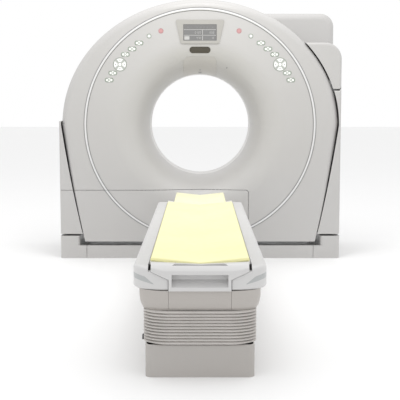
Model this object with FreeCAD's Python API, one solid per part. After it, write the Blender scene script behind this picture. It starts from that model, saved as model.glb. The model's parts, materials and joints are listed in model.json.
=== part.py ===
"""Computed-tomography scanner: tilting gantry on two stands, and a lifting patient table.

Frame: millimetres, +Z up, +Y from the table's foot end into the bore, +X to the right.
The origin is on the floor, straight below the isocentre.
"""
import FreeCAD
import Part
import math
import os

os.makedirs("parts", exist_ok=True)

# ---- driving dimensions ---------------------------------------------------------------------
ISO_Z = 970.0            # height of the bore axis and of the tilt axis
BORE_R = 375.0           # patient bore
MOUTH_R = BORE_R + 245.0       # where the funnel meets the flat face
THROAT_FRONT = -100.0    # front edge of the throat
THROAT_REAR = 120.0      # rear edge of the throat
FRONT_Y = -400.0         # gantry front plane
REAR_Y = 420.0           # gantry rear plane
FUNNEL_R = 220.0         # outer of the two radii that make the funnel

ARCH_A = 1000.0          # half width of the arch at the tilt axis
ARCH_B = 900.0           # height of the arch above the tilt axis
ARCH_BULGE = (930.0, ISO_Z - 423.5)    # a point of the flank's arc below the axis, x and z
ARCH_FOOT = (840.0, 123.0)     # lower corner of the tilting cover, x and z
SKIN = 5.0               # cover thickness
SEAM = 3.0               # gap between neighbouring covers
FLANK_SEAM = 4.0         # gap between a tilting cover and a fixed one
FRONT_FLANGE = 90.0      # how far the front and rear covers wrap around
ARCH_ROUND = 50.0        # rounding of the arch's front edge
FLANK_ROUND = 5.0        # rounding of the edges below the axis
REAR_ROUND = 20.0
JOIN_TOL = 0.05          # the two rounded halves of a cover meet within this

RING_R = 828.0           # trim ring, mean radius
RING_W = 21.0
RING_GROOVE = 2.0        # gap on both sides of the ring
RING_DEPTH = 3.0
RING_CROWN = 4.0         # how far the middle of the ring stands out
RING_FLATS = 8           # flats that make up the ring's crowned face

PANEL_TOP = ISO_Z - 470.0    # service panel: top seam
PANEL_RIGHT = 352.0      # service panel: right seam
PANEL_ROUND = 18.0

SIDE_X = 1020.0          # outside of the side covers
SIDE_BOTTOM = 179.0
SIDE_TOP_LEFT = ISO_Z + 30.0
SIDE_ROUND = 20.0
SHOULDER_TOP = ISO_Z + 593.0    # right shoulder housing
SHOULDER_ROUND = 120.0
SHOULDER_Y = -390.0
SHOULDER_ARC = 470.0     # radius about the tilt axis of the joint under the shoulder
HUMP_TOP = ISO_Z + 824.0
HUMP_LEFT = 400.0
HUMP_RIGHT = 1000.0
HUMP_FRONT = -100.0
HUMP_ROUND = 100.0

FOOT_TOP = SIDE_BOTTOM - 14.0
FOOT_IN = 880.0          # inner side of a foot cover
FOOT_STEP = 830.0        # inner side of its low front step
PLINTH_TOP = 93.5
PLINTH_DEPTH = 55.0
PLATE_T = 20.0           # floor plate of the gantry
PLATE_X = 1000.0
ANCHOR_X = 940.0         # anchor holes of the gantry, half spacing
ANCHOR_Y = 325.0
ANCHOR_R = 9.0

STAND_IN = 950.0         # inner and outer face of a stand's web
STAND_OUT = 985.0
STAND_NECK = 85.0        # half depth of the web beside the tilting covers
WAIST_Z = ISO_Z - 520.0  # height where the web reaches that depth
EYE_R = 46.0
TRUNNION_R = 26.0
BUSH_R = 36.0
RUNNING = 0.05           # radial clearance of shafts and bearings
SEAT = 0.3               # distance from a seat that is left free to move

FRAME_Y = 200.0          # front face of the tilt frame's back plate
FRAME_T = 20.0
ARM_IN = 800.0
ARM_T = 50.0
POST = 30.0              # square posts that carry the covers
POSTS = ((600.0, ISO_Z + 580.0), (820.0, ISO_Z + 180.0), (780.0, ISO_Z - 520.0),
         (600.0, ARCH_FOOT[1] + 77.0), (250.0, ARCH_FOOT[1] + 32.0))

DRUM_R = 770.0
DRUM_HOLE = BORE_R + 45.0
DRUM_Y = 100.0           # front face of the rotor disc
DRUM_T = 25.0
BEARING_R = BORE_R + 155.0     # split radius of the main bearing
PULLEY_X, PULLEY_Z = 620.0, ISO_Z - 650.0
PULLEY_R = 59.4
BELT_T = 4.0
BELT_W = 35.0
MOTOR_R = 75.0
SHAFT_R = 12.0
ROTOR_NEAR = -170.0      # near face of what the rotor disc carries
TUBE = (610.0, 105.0, 60.0, 40.0)      # height above the axis, radius, neck radius and length
TUBE_BLOCK = (90.0, -60.0)     # collimator: half width and near face
TUBE_SEAT = 60.0         # how far the collimator reaches below the tube's axis
GENERATOR = (-690.0, -470.0, 150.0)    # both sides, and half height
COOLER = (480.0, 690.0, 120.0)
DETECTOR = (600.0, 700.0, 27.0)        # inner and outer radius, and half angle in degrees
DETECTOR_NEAR = -100.0

KEY_R = 13.5
KEY_GAP = 0.6            # clearance of a key in its hole
KEY_PROUD = 1.5
KEY_DEPTH = 3.0          # how far a key reaches behind the cover
KEY_FLANGE = 2.5
PIVOT_R = 1.8            # trunnions of a rocker, in pockets behind the cover's skin
KEY_PIVOT = 3.0          # depth of that axis behind the cover's face
PIVOT_REACH = 2.5        # how far a trunnion stands out of its rocker
PIVOT_GAP = 0.15
HUB = 16.0               # width of a rocker's pivot hub
PAIR = 30.0              # distance between the two ends of a rocker
# name, kind, then the centre on the left side: x, and height above the axis
KEYS = (("stop_button", "round", -279.0, 673.0, 15.0),
        ("light_key", "round", -364.0, 637.0, KEY_R),
        ("tilt_rocker", "rocker", -436.0, 588.0, KEY_R),
        ("height_rocker", "rocker", -486.0, 546.0, KEY_R),
        ("cradle_rocker", "rocker", -535.0, 507.0, KEY_R),
        ("four_way_pad", "round", -574.0, 436.0, 46.0),
        ("memory_rocker", "rocker", -626.0, 375.0, KEY_R),
        ("preset_rocker", "rocker", -652.0, 325.0, KEY_R))

DISPLAY_X = (137.0, 176.0)     # half widths of the bezel, low and high edge
DISPLAY_Z = (ISO_Z + 584.0, ISO_Z + 752.0)
LCD = (120.0, ISO_Z + 604.0, ISO_Z + 720.0)    # half width, low and high edge
BEZEL_T = 6.0
INSERT_GAP = 0.8         # gap around the windows let into the front cover
PILL_X = 75.0
PILL_Z = (ISO_Z + 517.0, ISO_Z + 562.0)
PROJECTOR_X = 120.0
PROJECTOR_TOP = ISO_Z + 492.0
STAND_FOOT_Y = 300.0
DUCT_X = 100.0
DUCT_Z = 35.0

TABLE_NEAR = -3360.0     # foot end of the table top
TABLE_FAR = -905.0
TABLE_TOP = 470.0
RAIL_OUT = 283.5
RAIL_IN = 219.0
RAIL_BOTTOM = 372.0
BASE_X = 231.0
BASE_NEAR = TABLE_NEAR + 10.0
BASE_FAR = -1100.0
BASE_TOP = 140.0
BASE_ROUND = 30.0
BELLOWS_PROUD = 9.0      # how far the bellows stands out from the base
BELLOWS_T = 10.0
TABLE_ANCHOR_X = 170.0
TABLE_ANCHOR_IN = 175.0  # from the base's ends to its anchor holes
TABLE_ANCHOR_R = 7.0
APRON_BOTTOM = 285.0
APRON_FAR = TABLE_FAR - 25.0
APRON_X = 258.0
# the apron's wall, from the top: share of its height, and how far it has curved in
APRON_CURVE = ((1.0, 0.0), (0.62, 0.5), (0.35, 3.5), (0.15, 9.0), (0.0, 17.0))
NOSE_SHAPE = 0.7         # depth of the near end's corners as a share of their width
KEYSTONE_X = 131.0       # half width of the centre panels
DECK_X = 205.0
DECK_TOP = 486.0
DECK_DIP = 10.0          # how much lower the end cover is in the middle
DECK_LENGTH = 60.0       # from the near end to the cradle
DECK_FALL = 30.0         # how far the end cover has dropped at its near end
RAIL_FALL = 22.0         # the same for the rails
FALL_LENGTH = 70.0
CRADLE_X = 212.0
CRADLE_SAG = 24.0        # how much lower the cradle is in the middle
CRADLE_T = 12.0
CRADLE_FAR = TABLE_FAR - 45.0
MATTRESS_T = 19.0
MATTRESS_X = 210.0
MATTRESS_FAR = -1155.0
HEAD_PAD_X = 170.0
HEAD_PAD_T = 16.0
HEAD_PAD_FAR = -545.0
HEAD_TIP = -520.0
COLUMN_Y = (BASE_NEAR + 500.0, BASE_FAR - 500.0)
COLUMN = (90.0, 110.0)   # half width and half depth of the outer column
COLUMN_WALL = 5.0
COLUMN_BOTTOM = 12.0
FRAME_LOW = 352.0        # underside of the table frame
SLIDE_NEAR = TABLE_NEAR + 180.0     # near end of the frame and of the cradle's guides
GUIDE_X = 100.0
GUIDE_TOP = 395.0
DECK_LOW = 452.0         # lower edge of the wide part of the end cover
SHOULDER_Z = 420.0       # where the end cover has narrowed to its keystone
COVER_PROUD = 10.0       # how far the end cover stands out from the rails
COVER_ROUND = 10.0
RAIL_ROUND = 14.0
HANDLE = (387.0, 441.0, 45.0)  # handle recess: low and high edge, depth
SLOT_X = (117.0, 100.0)        # half widths of the slot on top, near and far edge
SLOT_Y = (26.0, 50.0)          # from the near end
SLOT_FLOOR = 456.0
GUIDE_W = 20.0
FRAME_SEAT = 20.0        # how far the rails rest on the table's frame
FRAME_BAR = 50.0
FRAME_SIDE = 60.0
BASE_EDGE = 5.0
HANDLE_X = 122.0
HOLDER_X = 150.0

V = FreeCAD.Vector


# ---- helpers --------------------------------------------------------------------------------
def box(x0, x1, y0, y1, z0, z1):
    return Part.makeBox(x1 - x0, y1 - y0, z1 - z0, V(x0, y0, z0))


def rod_y(x, z, radius, y0, y1):
    return Part.makeCylinder(radius, y1 - y0, V(x, y0, z), V(0, 1, 0))


def rod_x(y, z, radius, x0, x1):
    return Part.makeCylinder(radius, x1 - x0, V(x0, y, z), V(1, 0, 0))


def tube_y(x, z, inner, outer, y0, y1):
    return rod_y(x, z, outer, y0, y1).cut(rod_y(x, z, inner, y0 - 1, y1 + 1))


def prism(points, axis, low, high):
    """Extrude a closed polygon; axis y takes (x, z) points and axis x takes (y, z) points."""
    if axis == "y":
        corners = [V(a, low, b) for a, b in points]
        way = V(0, high - low, 0)
    else:
        corners = [V(low, a, b) for a, b in points]
        way = V(high - low, 0, 0)
    return Part.Face(Part.makePolygon(corners + corners[:1])).extrude(way)


def mirrored(shape):
    return shape.mirror(V(0, 0, 0), V(1, 0, 0))


def both(shape):
    return Part.makeCompound([shape, mirrored(shape)])


def edges_where(shape, test):
    return [edge for edge in shape.Edges if test(edge)]


def along(edge, way):
    """True for a straight edge that runs along one axis."""
    if not isinstance(edge.Curve, Part.Line):
        return False
    return abs(edge.tangentAt(edge.FirstParameter).dot(way)) > 0.999


def round_box(x0, x1, y0, y1, z0, z1, radius):
    """A box with rounded upright edges."""
    block = box(x0, x1, y0, y1, z0, z1)
    return block.makeFillet(radius, edges_where(block, lambda edge: along(edge, V(0, 0, 1))))


def save(name, shape):
    shape.exportStep("parts/%s.step" % name)


# ---- gantry covers --------------------------------------------------------------------------
def arch_face(inset, y):
    """The gantry's outline: half an ellipse on top, two flat arcs down to the foot."""
    a, b = ARCH_A - inset, ARCH_B - inset
    foot_x, foot_z = ARCH_FOOT[0] - inset, ARCH_FOOT[1] + inset
    mid_x = ARCH_BULGE[0] - inset
    top = Part.Ellipse(V(a, y, ISO_Z), V(0, y, ISO_Z + b), V(0, y, ISO_Z))
    edges = [
        Part.Arc(top, 0, math.pi).toShape(),
        Part.Arc(V(-a, y, ISO_Z), V(-mid_x, y, ARCH_BULGE[1]), V(-foot_x, y, foot_z)).toShape(),
        Part.makeLine(V(-foot_x, y, foot_z), V(foot_x, y, foot_z)),
        Part.Arc(V(foot_x, y, foot_z), V(mid_x, y, ARCH_BULGE[1]), V(a, y, ISO_Z)).toShape(),
    ]
    return Part.Face(Part.Wire(edges))


def arch_block(inset, y0, y1):
    return arch_face(inset, y0).extrude(V(0, y1 - y0, 0))


def arch_cap(inset, face_y, end_y, top_round):
    """The arch from its outer face to where it ends. The edge around that face is rounded
    over the top, and the rounding runs out down the flanks."""
    block = arch_block(inset, min(face_y, end_y), max(face_y, end_y))
    low_round = max(FLANK_ROUND - inset, 1.0)
    y0, y1 = sorted((face_y, end_y))
    wide = ARCH_A + 10
    upper = block.common(box(-wide, wide, y0 - 1, y1 + 1, ISO_Z, ISO_Z + ARCH_B + 10))
    lower = block.common(box(-wide, wide, y0 - 1, y1 + 1, 0, ISO_Z))

    def on_face(edge):
        return abs(edge.BoundBox.Center.y - face_y) < 0.5 and edge.BoundBox.YLength < 1

    upper = upper.makeFillet(top_round, edges_where(
        upper, lambda e: on_face(e) and e.BoundBox.ZMax > ISO_Z + 10))
    for side in (-1, 1):
        flank = edges_where(lower, lambda e: on_face(e) and e.BoundBox.ZLength > 400
                            and e.BoundBox.Center.x * side > 0)
        start = flank[0].valueAt(flank[0].FirstParameter)
        radii = (top_round, low_round) if start.z > ISO_Z - 5 else (low_round, top_round)
        lower = lower.makeFillet(radii[0], radii[1], flank)
    return upper.fuse((lower,), JOIN_TOL)


def funnel(face_y, throat_y, thickness):
    """The trumpet between the flat face and the throat: two tangent arcs turned about Y."""
    way = 1.0 if throat_y > face_y else -1.0
    span = MOUTH_R - BORE_R
    depth = abs(throat_y - face_y)
    inner_r = (span ** 2 + (depth - FUNNEL_R) ** 2 - FUNNEL_R ** 2) / (2 * (span - FUNNEL_R))
    outer_c = (MOUTH_R, FUNNEL_R)
    inner_c = (BORE_R + inner_r, depth)
    meet = math.atan2(outer_c[1] - inner_c[1], outer_c[0] - inner_c[0])

    def arc(centre, radius, start, end):
        points = []
        for angle in (start, (start + end) / 2, end):
            deep = centre[1] + radius * math.sin(angle)
            points.append(V(centre[0] + radius * math.cos(angle), face_y + way * deep, ISO_Z))
        return points

    def line(inset):
        return [arc(outer_c, FUNNEL_R - inset, -math.pi / 2, meet),
                arc(inner_c, inner_r - inset, meet, -math.pi)]

    front, back = line(0.0), line(thickness)
    edges = [Part.Arc(*points).toShape() for points in front + back]
    edges.append(Part.makeLine(front[0][0], back[0][0]))
    edges.append(Part.makeLine(front[1][2], back[1][2]))
    face = Part.Face(Part.Wire(Part.sortEdges(edges)[0]))
    return face.revolve(V(0, 0, ISO_Z), V(0, 1, 0), 360)


def cover_shell(face_y, end_y, throat_y, top_round):
    """A moulded cover: flat face, flange around the edge and a funnel down to the bore."""
    way = 1.0 if end_y > face_y else -1.0
    shell = arch_cap(0, face_y, end_y, top_round)
    hollow = arch_cap(SKIN, face_y + way * SKIN, end_y + way * 20, top_round - SKIN)
    shell = shell.cut(hollow)
    shell = shell.cut(rod_y(0, ISO_Z, MOUTH_R, min(face_y, end_y) - 1, max(face_y, end_y) + 1))
    return shell.fuse(funnel(face_y, throat_y, SKIN)).removeSplitter()


def panel_region(grow):
    """Everything that belongs to the service panel, seen from the front."""
    right, top = PANEL_RIGHT + grow, PANEL_TOP + grow
    block = box(-SIDE_X - 10, right, FRONT_Y - 10, REAR_Y, 0, top)
    corner = edges_where(block, lambda e: along(e, V(0, 1, 0))
                         and e.BoundBox.Center.x > 0 and e.BoundBox.Center.z > top - 1)
    return block.makeFillet(PANEL_ROUND + grow, corner)


def rounded_slab(x0, x1, z0, z1, y0, y1, radius, top_only=False):
    """A flat plate that faces -Y, with rounded corners."""
    block = box(x0, x1, y0, y1, z0, z1)
    corners = edges_where(block, lambda e: along(e, V(0, 1, 0))
                          and (not top_only or e.BoundBox.Center.z > z1 - 1))
    return block.makeFillet(radius, corners)


def key_outline(kind, x, z, radius, y0, y1):
    if kind == "round":
        return rod_y(x, z, radius, y0, y1)
    half = PAIR / 2
    ends = rod_y(x - half, z, radius, y0, y1).fuse(rod_y(x + half, z, radius, y0, y1))
    return ends.fuse(box(x - half, x + half, y0, y1, z - radius, z + radius))


def pivot(x, z, reach, radius):
    """The upright trunnion that a rocker turns on, in the middle of the cover's skin."""
    return Part.makeCylinder(radius, 2 * reach, V(x, FRONT_Y + KEY_PIVOT, z - reach))


def make_keys():
    """Keys on both sides of the dish. Push keys have a flange behind the cover, and rockers
    turn on a hub in their middle. Returns the holes that they need."""
    holes = []
    back = FRONT_Y + SKIN
    for name, kind, x, above, radius in KEYS:
        z = ISO_Z + above
        for side, centre in (("left", x), ("right", -x)):
            holes.append(key_outline(kind, centre, z, radius + KEY_GAP, FRONT_Y - 1, back + 1))
            cap = key_outline(kind, centre, z, radius, FRONT_Y - KEY_PROUD, back + KEY_DEPTH)
            if kind == "rocker":
                stem = box(centre - HUB / 2, centre + HUB / 2, back, back + 3 * KEY_DEPTH,
                           z - radius, z + radius)
                stem = stem.fuse(pivot(centre, z, radius + PIVOT_REACH, PIVOT_R))
                holes.append(pivot(centre, z, radius + PIVOT_REACH + PIVOT_GAP,
                                   PIVOT_R + PIVOT_GAP))
            else:
                stem = rod_y(centre, z, radius + KEY_FLANGE, back + KEY_GAP, back + KEY_DEPTH)
            save("%s_%s" % (name, side), cap.fuse(stem).removeSplitter())
    return holes


def projector_region(grow):
    return rounded_slab(-PROJECTOR_X - grow, PROJECTOR_X + grow, ISO_Z + BORE_R - 60,
                        PROJECTOR_TOP + grow, FRONT_Y - 1, THROAT_FRONT + 1, 40 + grow, True)


def pill_region(grow):
    half = (PILL_Z[1] - PILL_Z[0]) / 2 + grow
    return rounded_slab(-PILL_X - grow, PILL_X + grow, PILL_Z[0] - grow, PILL_Z[1] + grow,
                        FRONT_Y - 1, FRONT_Y + 60, half - 0.1)


def make_display(shell):
    """The bezel stands on the cover and fits its slope; the screen sits in its window."""
    low, high = DISPLAY_Z
    front, back = FRONT_Y - BEZEL_T, FRONT_Y + SKIN - 1
    bezel = prism([(-DISPLAY_X[0], low), (DISPLAY_X[0], low), (DISPLAY_X[1], high),
                   (-DISPLAY_X[1], high)], "y", front, back)
    bezel = bezel.makeFillet(12, edges_where(bezel, lambda e: along(e, V(0, 1, 0))))
    lcd_x, lcd_low, lcd_high = LCD
    window = rounded_slab(-lcd_x, lcd_x, lcd_low, lcd_high, front - 1, back + 1, 4)
    save("display_bezel", bezel.cut(window).cut(shell))
    screen = rounded_slab(-lcd_x + SEAT, lcd_x - SEAT, lcd_low + SEAT, lcd_high - SEAT,
                          front + 2, back, 4)
    save("display_panel", screen.cut(shell))


def trim_profile(inner, outer):
    """The trim ring: flat behind, with a face that is crowned in narrow flats."""
    points = [V(outer, FRONT_Y + RING_DEPTH, ISO_Z), V(inner, FRONT_Y + RING_DEPTH, ISO_Z)]
    for i in range(RING_FLATS + 1):
        across = i / RING_FLATS
        rise = RING_CROWN * (1 - (2 * across - 1) ** 2)
        points.append(V(inner + (outer - inner) * across, FRONT_Y - rise, ISO_Z))
    face = Part.Face(Part.makePolygon(points + points[:1]))
    return face.revolve(V(0, 0, ISO_Z), V(0, 1, 0), 360)


def make_front():
    shell = cover_shell(FRONT_Y, FRONT_Y + FRONT_FLANGE, THROAT_FRONT, ARCH_ROUND)
    outer = RING_R + RING_W / 2 + RING_GROOVE
    inner = RING_R - RING_W / 2 - RING_GROOVE
    groove = tube_y(0, ISO_Z, inner, outer, FRONT_Y - 1, FRONT_Y + RING_DEPTH)
    shell = shell.cut(groove)
    ring = trim_profile(inner + RING_GROOVE, outer - RING_GROOVE)
    shell = shell.cut(Part.makeCompound(make_keys()))
    for name, region in (("projector_cover", projector_region), ("sensor_window", pill_region)):
        save(name, shell.common(region(0)))
        shell = shell.cut(region(INSERT_GAP))
    make_display(shell)
    inside, outside = panel_region(-SEAM / 2), panel_region(SEAM / 2)
    save("service_panel", shell.common(inside))
    save("front_cover", shell.cut(outside))
    save("trim_ring", Part.makeCompound([ring.cut(outside), ring.common(inside)]))


def make_other_covers():
    rear = cover_shell(REAR_Y, REAR_Y - FRONT_FLANGE, THROAT_REAR, REAR_ROUND)
    save("rear_cover", rear)
    y0 = FRONT_Y + FRONT_FLANGE + SEAM / 2
    y1 = REAR_Y - FRONT_FLANGE - SEAM / 2
    band = arch_block(0, y0, y1).cut(arch_block(SKIN, y0 - 1, y1 + 1))
    band = band.common(box(-SIDE_X, SIDE_X, y0, y1, SIDE_TOP_LEFT + 5, ISO_Z + ARCH_B + 1))
    save("top_cover", band)
    save("bore_liner", tube_y(0, ISO_Z, BORE_R, BORE_R + SKIN - 1,
                              THROAT_FRONT + SEAT, THROAT_REAR - SEAT))

    # shoulder housing on the right: a shell above an arc about the tilt axis
    arch = arch_block(-SEAM, FRONT_Y - 10, REAR_Y + 10)
    clear = rod_x(0, ISO_Z, SHOULDER_ARC, 0, SIDE_X + 10)

    def shoulder(inset):
        low = ISO_Z + 100
        block = box(500, SIDE_X - inset, SHOULDER_Y + inset, y1 - inset, low,
                    SHOULDER_TOP - inset)
        top = edges_where(block, lambda e: along(e, V(0, 1, 0)) and e.BoundBox.Center.x > 600
                          and e.BoundBox.Center.z > low + 10)
        block = block.makeFillet(SHOULDER_ROUND - inset, top)
        rim = edges_where(block, lambda e: e.BoundBox.YMax < SHOULDER_Y + inset + 1
                          and e.BoundBox.ZMax > low + 10 and e.BoundBox.XMax > 600)
        return block.makeFillet(SIDE_ROUND - inset, rim)

    shell = shoulder(0).cut(shoulder(SKIN)).cut(arch).cut(clear)
    save("shoulder_cover", largest(shell))

    def hump(inset):
        """The rounded housing behind the arch; it is open where it sits on the covers."""
        left, right = HUMP_LEFT + inset, HUMP_RIGHT - inset
        block = box(left, right, HUMP_FRONT + inset, y1 - inset, ISO_Z + 200,
                    HUMP_TOP - inset)
        corner = edges_where(block, lambda e: along(e, V(0, 1, 0))
                             and e.BoundBox.Center.z > ISO_Z + 300
                             and e.BoundBox.Center.x > right - 1)
        block = block.makeFillet(HUMP_ROUND - inset, corner)
        rim = edges_where(block, lambda e: e.BoundBox.YMax < HUMP_FRONT + inset + 1
                          and e.BoundBox.ZMax > ISO_Z + 300
                          and e.BoundBox.XMax > left + 10)
        return block.makeFillet(HUMP_ROUND / 2 - inset, rim)

    base = arch_block(-SEAT, FRONT_Y, REAR_Y)
    on_shoulder = box(500, SIDE_X + 10, FRONT_Y, REAR_Y, ISO_Z, SHOULDER_TOP + SEAT)
    shell = hump(0).cut(hump(SKIN)).cut(base).cut(on_shoulder)
    save("hump_cover", largest(shell))


def largest(shape):
    return max(shape.Solids, key=lambda solid: solid.Volume)


def side_channel(inset, top):
    """Plan view of a side cover: an outer wall with a front and a rear return."""
    low = SIDE_BOTTOM if inset == 0 else SIDE_BOTTOM - 1
    block = box(700, SIDE_X - inset, FRONT_Y + inset, REAR_Y - inset, low, top - inset)
    corners = edges_where(block, lambda e: along(e, V(0, 0, 1)) and e.BoundBox.Center.x > 800)
    return block.makeFillet(SIDE_ROUND - inset, corners)


def make_side_covers():
    inside_arch = arch_block(-FLANK_SEAM, FRONT_Y - 10, REAR_Y + 10)
    low_left = side_channel(0, SIDE_TOP_LEFT).cut(side_channel(SKIN, SIDE_TOP_LEFT))
    left = mirrored(low_left.cut(inside_arch))
    save("side_cover_left", Part.makeCompound([
        largest(left.cut(panel_region(SEAM / 2))),
        largest(left.common(panel_region(-SEAM / 2)))]))

    arc_r = SHOULDER_ARC - SEAM
    tall = ISO_Z + arc_r + 50
    right = side_channel(0, tall).cut(side_channel(SKIN, tall + 100)).cut(inside_arch)
    keep = rod_x(0, ISO_Z, arc_r, 600, SIDE_X + 10).fuse(
        box(600, SIDE_X + 10, FRONT_Y - 1, REAR_Y + 1, SIDE_BOTTOM, ISO_Z))
    save("side_cover_right", largest(right.common(keep)))


# ---- what stands on the floor ---------------------------------------------------------------
def make_floor_parts():
    wall = SKIN - 1
    front = FRONT_Y + wall + SEAT
    plate = box(-PLATE_X, PLATE_X, front, REAR_Y - wall - SEAT, 0, PLATE_T)
    for x in (-ANCHOR_X, ANCHOR_X):
        for y in (-ANCHOR_Y, ANCHOR_Y):
            plate = plate.cut(Part.makeCylinder(ANCHOR_R, PLATE_T + 2, V(x, y, -1)))
    room = box(-PLATE_X - SEAT, PLATE_X + SEAT, front - SEAT, REAR_Y - wall, -1,
               PLATE_T + SEAT)
    save("base_frame", plate)

    skirt_x = FOOT_STEP - SEAM
    skirt = box(-skirt_x, skirt_x, FRONT_Y, FRONT_Y + PLINTH_DEPTH, 0, PLINTH_TOP)
    skirt = skirt.cut(box(-skirt_x - 1, skirt_x + 1, FRONT_Y + wall, FRONT_Y + 100, -1,
                          PLINTH_TOP - wall))
    save("plinth_cover", skirt.cut(room))

    foot = round_box(FOOT_IN, SIDE_X, FRONT_Y, REAR_Y, 0, FOOT_TOP, SIDE_ROUND)
    step = box(FOOT_STEP, FOOT_IN + 30, FRONT_Y, FRONT_Y + PLINTH_DEPTH, 0, PLINTH_TOP)
    foot = foot.fuse(step)
    hollow = round_box(FOOT_IN + wall, SIDE_X - wall, FRONT_Y + wall, REAR_Y - wall, -1,
                       FOOT_TOP - wall, SIDE_ROUND - wall)
    hollow = hollow.fuse(box(FOOT_STEP + wall, FOOT_IN + 30, FRONT_Y + wall,
                             FRONT_Y + PLINTH_DEPTH - wall, -1, PLINTH_TOP - wall))
    slot = box(FOOT_IN + 10, STAND_OUT + 8, -STAND_FOOT_Y, STAND_FOOT_Y, FOOT_TOP - 10,
               FOOT_TOP + 1)
    foot = largest(foot.cut(hollow).cut(room).cut(slot))
    save("foot_covers", both(foot))

    duct = box(-DUCT_X, DUCT_X, BASE_FAR + SEAT, FRONT_Y - SEAT, 0, DUCT_Z)
    save("cable_duct", duct.cut(box(-DUCT_X + wall, DUCT_X - wall, BASE_FAR - 10,
                                    FRONT_Y + 10, -1, DUCT_Z - wall)))


def make_stands():
    """Upright stands: a floor foot, a tapered web and an eye with the trunnion's bush."""
    low = PLATE_T + 40
    web = prism([(-STAND_FOOT_Y + 20, low), (STAND_FOOT_Y - 20, low), (STAND_NECK, WAIST_Z),
                 (EYE_R, ISO_Z), (-EYE_R, ISO_Z), (-STAND_NECK, WAIST_Z)],
                "x", STAND_IN, STAND_OUT)
    stand = web.fuse(rod_x(0, ISO_Z, EYE_R, STAND_IN, STAND_OUT))
    stand = stand.fuse(box(FOOT_IN + 15, STAND_OUT, -STAND_FOOT_Y, STAND_FOOT_Y, PLATE_T,
                           low))
    stand = stand.fuse(box(FOOT_IN + 25, STAND_IN, -15, 15, low, 250))
    for z in (PANEL_TOP - 60, PANEL_TOP + 30):
        for y in (-50, 50):
            stand = stand.fuse(rod_x(y, z, 10, STAND_OUT, SIDE_X - SKIN - SEAT))
    stand = stand.cut(rod_x(0, ISO_Z, BUSH_R, STAND_IN - 1, STAND_OUT + 1)).removeSplitter()
    bush = rod_x(0, ISO_Z, BUSH_R, STAND_IN, STAND_OUT).cut(
        rod_x(0, ISO_Z, TRUNNION_R + RUNNING, STAND_IN - 1, STAND_OUT + 1))
    pair = Part.makeCompound([stand, bush])
    save("stand_right", pair)
    save("stand_left", mirrored(pair))

    gear_in = ARM_IN + ARM_T + 5
    gear = box(gear_in, STAND_IN, -90, 90, ISO_Z - 100, ISO_Z + 100)
    gear = gear.makeFillet(15, edges_where(gear, lambda e: along(e, V(1, 0, 0))))
    middle = (gear_in + STAND_IN) / 2
    gear = gear.fuse(Part.makeCylinder(40, 250, V(middle, 0, ISO_Z - 350)))
    gear = gear.cut(rod_x(0, ISO_Z, TRUNNION_R + RUNNING, gear_in - 1, STAND_IN + 1))
    save("tilt_gearmotor", gear)


# ---- tilting frame and rotor ----------------------------------------------------------------
def make_tilt_frame():
    rear = FRAME_Y + FRAME_T
    plate = arch_block(SKIN + SEAT, FRAME_Y, rear)
    plate = plate.common(box(-930, 930, FRAME_Y, rear, 0, ISO_Z + ARCH_B))
    plate = plate.cut(rod_y(0, ISO_Z, BEARING_R + 10, FRAME_Y - 1, rear + 1))
    plate = plate.cut(rod_y(PULLEY_X, PULLEY_Z, 30, FRAME_Y - 1, rear + 1))
    for side in (-1, 1):
        arm = box(ARM_IN, ARM_IN + ARM_T, -80, FRAME_Y, ISO_Z - 100, ISO_Z + 100)
        arm = arm.fuse(rod_x(0, ISO_Z, TRUNNION_R, ARM_IN + ARM_T, STAND_OUT + 7))
        plate = plate.fuse(arm if side > 0 else mirrored(arm))
        for x, z in POSTS:
            half = POST / 2
            x0, x1 = sorted((side * x - half, side * x + half))
            plate = plate.fuse(box(x0, x1, FRONT_Y + SKIN + SEAT, REAR_Y - SKIN - SEAT,
                                   z - half, z + half))
    outer_race = tube_y(0, ISO_Z, BEARING_R + RUNNING, BEARING_R + 45,
                        DRUM_Y + DRUM_T + 5, FRAME_Y)
    save("tilt_frame", Part.makeCompound([plate.removeSplitter(), outer_race]))
    motor = rod_y(PULLEY_X, PULLEY_Z, MOTOR_R, rear, rear + 160)
    motor = motor.fuse(box(PULLEY_X - 85, PULLEY_X + 85, rear, rear + 15, PULLEY_Z - 85,
                           PULLEY_Z + 85))
    save("drive_motor", motor.cut(rod_y(PULLEY_X, PULLEY_Z, SHAFT_R + RUNNING, rear - 1,
                                        rear + 41)))
    belt_y = DRUM_Y - BELT_W + 10
    wheel = rod_y(PULLEY_X, PULLEY_Z, PULLEY_R, belt_y - 5, belt_y + BELT_W + 5)
    wheel = wheel.fuse(rod_y(PULLEY_X, PULLEY_Z, SHAFT_R, belt_y, rear + 40))
    save("motor_pulley", wheel)
    outer = around(SEAT + BELT_T, belt_y)
    save("drive_belt", outer.cut(around(SEAT, belt_y)))


def around(grow, y):
    """The region that a belt around the drum and the pulley encloses."""
    big, small = DRUM_R + grow, PULLEY_R + grow
    dx, dz = PULLEY_X, PULLEY_Z - ISO_Z
    lean = math.atan2(dz, dx)
    open_angle = math.acos((big - small) / math.hypot(dx, dz))
    points = []
    for sign in (1, -1):
        angle = lean + sign * open_angle
        way = (math.cos(angle), math.sin(angle))
        points.append((big * way[0], ISO_Z + big * way[1]))
        points.append((PULLEY_X + small * way[0], PULLEY_Z + small * way[1]))
    corners = [points[0], points[1], points[3], points[2]]
    return prism(corners, "y", y, y + BELT_W).fuse(
        [rod_y(0, ISO_Z, big, y, y + BELT_W),
         rod_y(PULLEY_X, PULLEY_Z, small, y, y + BELT_W)])


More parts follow.
